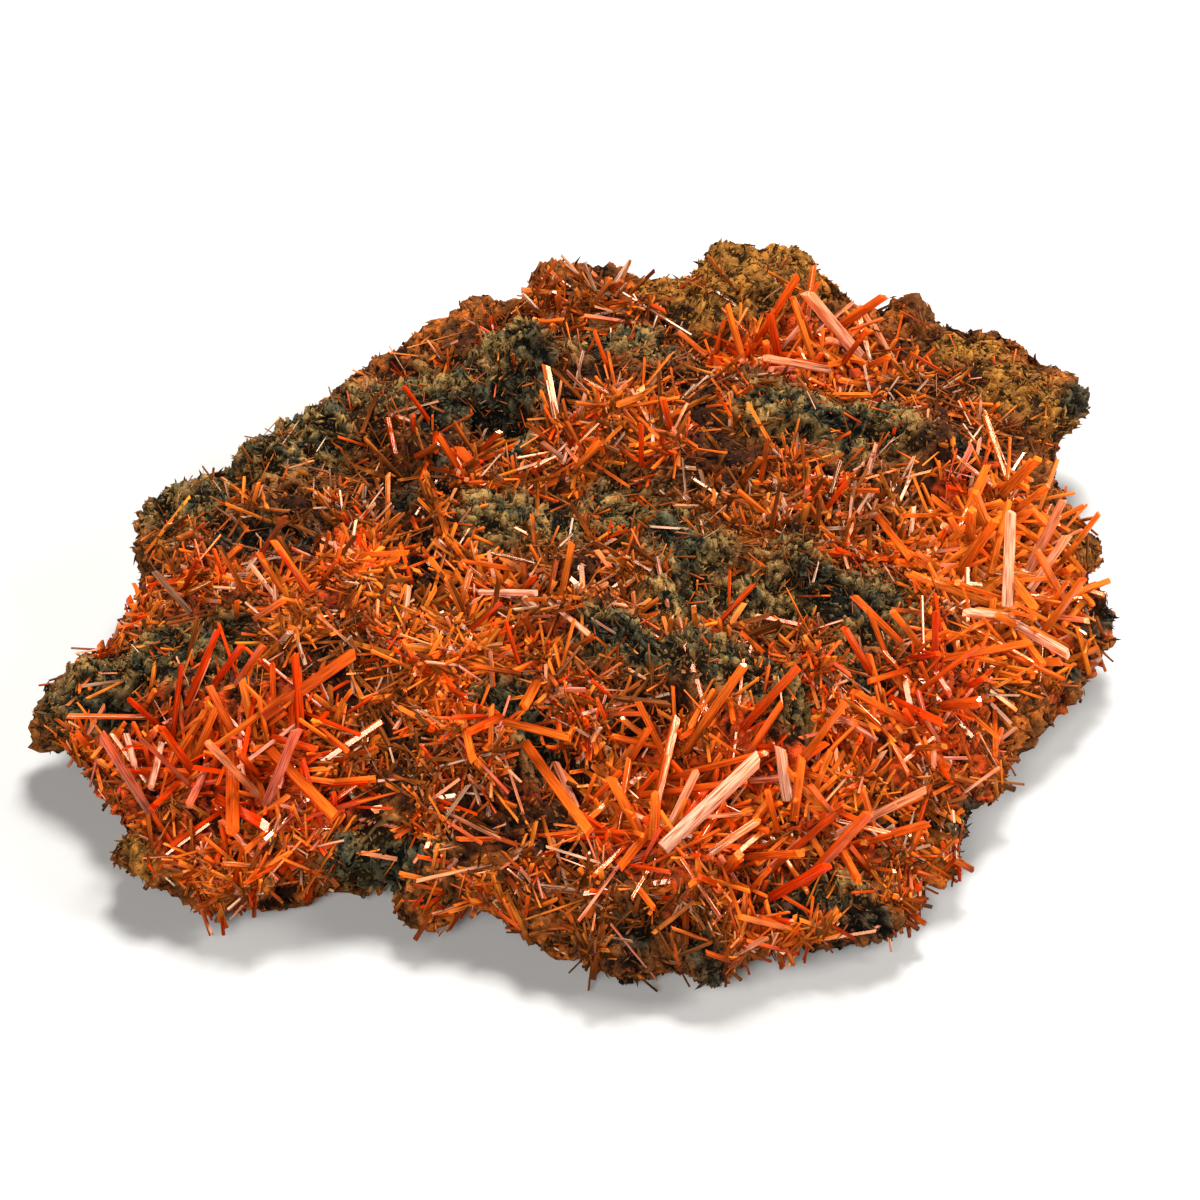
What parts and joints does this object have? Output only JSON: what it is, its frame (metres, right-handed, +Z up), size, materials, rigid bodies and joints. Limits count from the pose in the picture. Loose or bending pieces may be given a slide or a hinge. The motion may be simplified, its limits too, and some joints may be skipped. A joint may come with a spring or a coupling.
{
  "type": "crocoite mineral specimen",
  "caption": "Loose plate of brown rusty rock overgrown with thickets of slender orange-red crocoite prisms; lies on its underside.",
  "frame": {"origin": "on the standing face, under the middle of the plate", "axes": "+X along the plate's longest side, +Y away from the front, +Z up through the crystals"},
  "size_m": [0.111, 0.0999, 0.0253],
  "materials": {
    "gossan": "earthy iron-oxide rock, rough and matt, brown to olive with black crusts",
    "crocoite": "orange-red crystals, translucent, bright adamantine lustre, striated along the prism"
  },
  "bodies": {
    "root": {"matrix": "gossan", "crystals_west_pocket": "crocoite", "crystals_west_slope": "crocoite", "crystals_middle_slope": "crocoite", "crystals_front_pocket": "crocoite", "crystals_south_east": "crocoite", "crystals_east_slope": "crocoite", "crystals_middle": "crocoite", "crystals_crest": "crocoite", "crystals_red_hollow": "crocoite", "crystals_north_east_hollow": "crocoite", "crystals_north_rim": "crocoite"}
  },
  "joints": []
}
